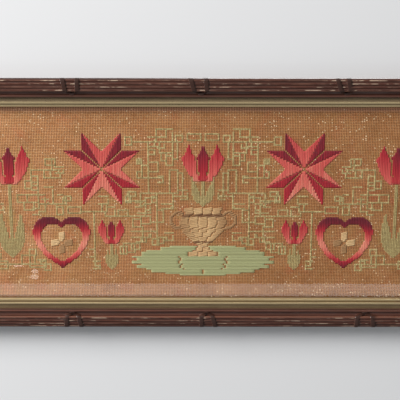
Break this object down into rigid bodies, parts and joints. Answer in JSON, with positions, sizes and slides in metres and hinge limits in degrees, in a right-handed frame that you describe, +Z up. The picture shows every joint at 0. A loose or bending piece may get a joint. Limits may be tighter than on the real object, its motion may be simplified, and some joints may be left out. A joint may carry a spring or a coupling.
{
  "type": "framed cross stitch sampler",
  "caption": "Wide punched-paper cross stitch sampler behind glass, in a dark reeded wood frame with carved ribbon ties and a gilt slip, for hanging on a wall.",
  "frame": {"origin": "on the flat back of the top rail, half way along it and half way across that back, where the frame lies against the wall", "axes": "+X along the frame's width to the viewer's right, +Z up, +Y into the wall, so the face looks along -Y"},
  "size_m": [0.586, 0.0198, 0.269],
  "materials": {
    "dark_wood": "dark red-brown stained and varnished, worn to light glints on the reeds",
    "gilding": "old gilding on a wooden slip, satin, rubbed on its beads",
    "clear_glass": "clear and glossy",
    "punched_paper": "toned brown punched paper, matte, worked in red and green thread",
    "backing_board": "plain thin board, bare and dusty"
  },
  "bodies": {
    "root": {"rail_top": "dark_wood", "rail_bottom": "dark_wood", "rail_left": "dark_wood", "rail_right": "dark_wood", "slip_top": "gilding", "slip_bottom": "gilding", "slip_left": "gilding", "slip_right": "gilding", "glass_pane": "clear_glass", "sampler_sheet": "punched_paper", "backing_board": "backing_board"}
  },
  "joints": []
}
